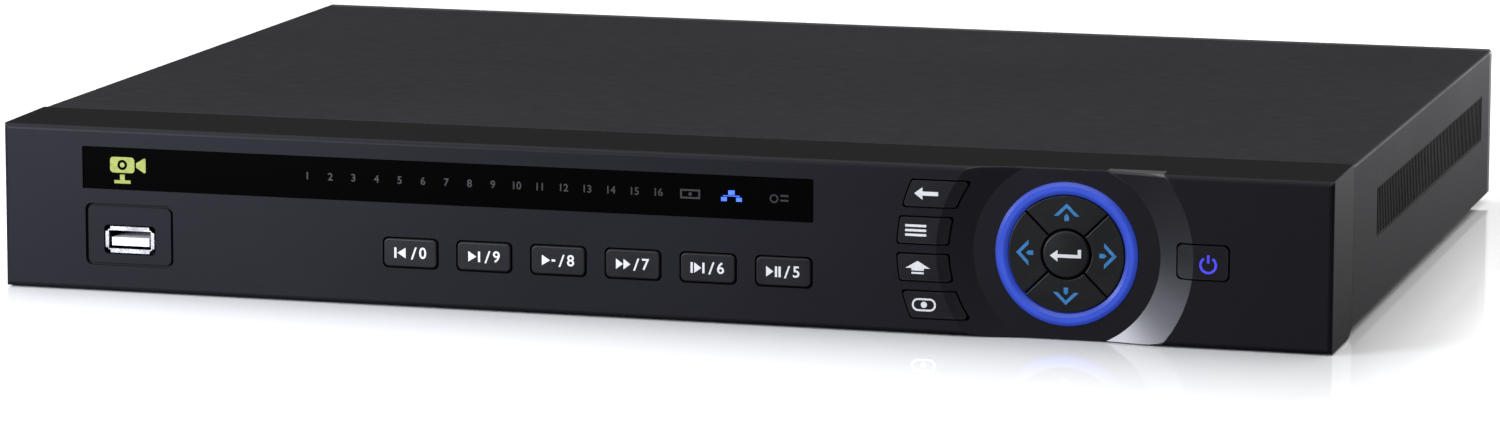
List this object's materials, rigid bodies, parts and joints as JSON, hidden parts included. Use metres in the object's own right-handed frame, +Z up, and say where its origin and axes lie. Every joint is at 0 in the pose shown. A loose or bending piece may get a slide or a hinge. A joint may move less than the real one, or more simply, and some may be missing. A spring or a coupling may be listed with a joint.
{
  "type": "digital video recorder",
  "caption": "Flat desktop video recorder with a smoked indicator strip, push keys, a lit ring around a round key pad, side vents and rear video sockets.",
  "frame": {"origin": "on the ground under the middle of the recorder's bounding box", "axes": "+X to the right seen from the front, +Y from the front to the rear sockets, +Z up"},
  "size_m": [0.375, 0.2834, 0.0468],
  "materials": {
    "bezel_plastic": "fine satin",
    "silver_trim": "satin silver lacquer",
    "smoked_window": "polished, smoked",
    "ring_plastic": "translucent, lit from behind",
    "plated_steel": "bright nickel plate",
    "socket_plastic": "moulded",
    "circuit_board": "solder mask",
    "lamp_plastic": "clear",
    "cover_paint": "fine-textured powder coat",
    "grille_paint": "black paint",
    "zinc_sheet": "powder coat",
    "foot_rubber": "matte",
    "screw_steel": "zinc plate",
    "chip_resin": "epoxy",
    "sink_aluminium": "anodised",
    "can_sleeve": "sleeved",
    "cell_steel": "bright",
    "ribbon_jacket": "ribbed PVC",
    "drive_casting": "cast",
    "drive_lid_steel": "pressed",
    "disk_mirror": "polished",
    "arm_aluminium": "machined",
    "fan_plastic": "moulded",
    "white_insulator": "moulded",
    "collar_plastic": "moulded",
    "insert_plastic": "moulded",
    "terminal_plastic": "moulded",
    "rocker_plastic": "moulded",
    "black_screw": "black oxide",
    "dial_plastic": "satin",
    "key_plastic": "satin"
  },
  "bodies": {
    "recorder": {"front_bezel": "bezel_plastic", "crescent_trim": "silver_trim", "display_window": "smoked_window", "light_ring": "ring_plastic", "front_usb_shell": "plated_steel", "front_usb_tongue": "socket_plastic", "key_board": "circuit_board", "tact_switches": "socket_plastic", "indicator_leds": "lamp_plastic", "top_cover": "cover_paint", "vent_grilles": "grille_paint", "base_tray": "zinc_sheet", "feet": "foot_rubber", "main_board": "circuit_board", "board_screws": "screw_steel", "processor": "chip_resin", "heat_sink": "sink_aluminium", "video_chips": "chip_resin", "capacitors": "can_sleeve", "coin_cell": "cell_steel", "front_ribbon": "ribbon_jacket", "drive_base": "drive_casting", "drive_lid": "drive_lid_steel", "drive_board": "circuit_board", "drive_screws": "screw_steel", "fan_frame": "fan_plastic", "video_jacks": "plated_steel", "video_insulators": "white_insulator", "jack_blocks": "socket_plastic", "audio_jacks": "plated_steel", "audio_collars": "collar_plastic", "vga_port": "plated_steel", "hdmi_port": "plated_steel", "rear_usb_port": "plated_steel", "ethernet_port": "plated_steel", "port_insulators": "insert_plastic", "terminal_block": "terminal_plastic", "dc_inlet": "socket_plastic", "rocker_frame": "socket_plastic", "panel_screws": "black_screw"},
    "key_back_0": {"key_back_0": "key_plastic"},
    "key_next_9": {"key_next_9": "key_plastic"},
    "key_slow_8": {"key_slow_8": "key_plastic"},
    "key_fast_7": {"key_fast_7": "key_plastic"},
    "key_step_6": {"key_step_6": "key_plastic"},
    "key_pause_5": {"key_pause_5": "key_plastic"},
    "key_escape": {"key_escape": "key_plastic"},
    "key_function": {"key_function": "key_plastic"},
    "key_shift": {"key_shift": "key_plastic"},
    "key_record": {"key_record": "key_plastic"},
    "pad_up": {"pad_up": "dial_plastic"},
    "pad_right": {"pad_right": "dial_plastic"},
    "pad_down": {"pad_down": "dial_plastic"},
    "pad_left": {"pad_left": "dial_plastic"},
    "enter_key": {"enter_key": "dial_plastic"},
    "power_key": {"power_key": "key_plastic"},
    "power_rocker": {"power_rocker": "rocker_plastic"},
    "fan_rotor": {"fan_rotor": "fan_plastic"},
    "drive_platters": {"drive_platters": "disk_mirror"},
    "drive_arm": {"drive_arm": "arm_aluminium"}
  },
  "joints": [
    {"name": "key_back_0_press", "type": "slide", "parent": "recorder", "child": "key_back_0", "axis": [0, 1, 0], "range_m": [0, 0.0007], "stiffness_N_per_m": 800},
    {"name": "key_next_9_press", "type": "slide", "parent": "recorder", "child": "key_next_9", "axis": [0, 1, 0], "range_m": [0, 0.0007], "stiffness_N_per_m": 800},
    {"name": "key_slow_8_press", "type": "slide", "parent": "recorder", "child": "key_slow_8", "axis": [0, 1, 0], "range_m": [0, 0.0007], "stiffness_N_per_m": 800},
    {"name": "key_fast_7_press", "type": "slide", "parent": "recorder", "child": "key_fast_7", "axis": [0, 1, 0], "range_m": [0, 0.0007], "stiffness_N_per_m": 800},
    {"name": "key_step_6_press", "type": "slide", "parent": "recorder", "child": "key_step_6", "axis": [0, 1, 0], "range_m": [0, 0.0007], "stiffness_N_per_m": 800},
    {"name": "key_pause_5_press", "type": "slide", "parent": "recorder", "child": "key_pause_5", "axis": [0, 1, 0], "range_m": [0, 0.0007], "stiffness_N_per_m": 800},
    {"name": "key_escape_press", "type": "slide", "parent": "recorder", "child": "key_escape", "axis": [0, 1, 0], "range_m": [0, 0.0007], "stiffness_N_per_m": 800},
    {"name": "key_function_press", "type": "slide", "parent": "recorder", "child": "key_function", "axis": [0, 1, 0], "range_m": [0, 0.0007], "stiffness_N_per_m": 800},
    {"name": "key_shift_press", "type": "slide", "parent": "recorder", "child": "key_shift", "axis": [0, 1, 0], "range_m": [0, 0.0007], "stiffness_N_per_m": 800},
    {"name": "key_record_press", "type": "slide", "parent": "recorder", "child": "key_record", "axis": [0, 1, 0], "range_m": [0, 0.0007], "stiffness_N_per_m": 800},
    {"name": "pad_up_press", "type": "slide", "parent": "recorder", "child": "pad_up", "axis": [0, 1, 0], "range_m": [0, 0.0007], "stiffness_N_per_m": 800},
    {"name": "pad_right_press", "type": "slide", "parent": "recorder", "child": "pad_right", "axis": [0, 1, 0], "range_m": [0, 0.0007], "stiffness_N_per_m": 800},
    {"name": "pad_down_press", "type": "slide", "parent": "recorder", "child": "pad_down", "axis": [0, 1, 0], "range_m": [0, 0.0007], "stiffness_N_per_m": 800},
    {"name": "pad_left_press", "type": "slide", "parent": "recorder", "child": "pad_left", "axis": [0, 1, 0], "range_m": [0, 0.0007], "stiffness_N_per_m": 800},
    {"name": "enter_key_press", "type": "slide", "parent": "recorder", "child": "enter_key", "axis": [0, 1, 0], "range_m": [0, 0.0007], "stiffness_N_per_m": 800},
    {"name": "power_key_press", "type": "slide", "parent": "recorder", "child": "power_key", "axis": [0, 1, 0], "range_m": [0, 0.0007], "stiffness_N_per_m": 800},
    {"name": "rocker_tilt", "type": "hinge", "parent": "recorder", "child": "power_rocker", "pos_m": [0.159, 0.129, 0.02335], "axis": [1, 0, 0], "range_deg": [-20, 0]},
    {"name": "fan_spin", "type": "hinge", "parent": "recorder", "child": "fan_rotor", "pos_m": [-0.1852, -0.028, 0.0244], "axis": [1, 0, 0], "continuous": true},
    {"name": "disk_spin", "type": "hinge", "parent": "recorder", "child": "drive_platters", "pos_m": [-0.109, -0.0512, 0.02], "axis": [0, 0, 1], "continuous": true},
    {"name": "arm_swing", "type": "hinge", "parent": "recorder", "child": "drive_arm", "pos_m": [-0.053, -0.0732, 0.02], "axis": [0, 0, 1], "range_deg": [-12, 18]}
  ]
}
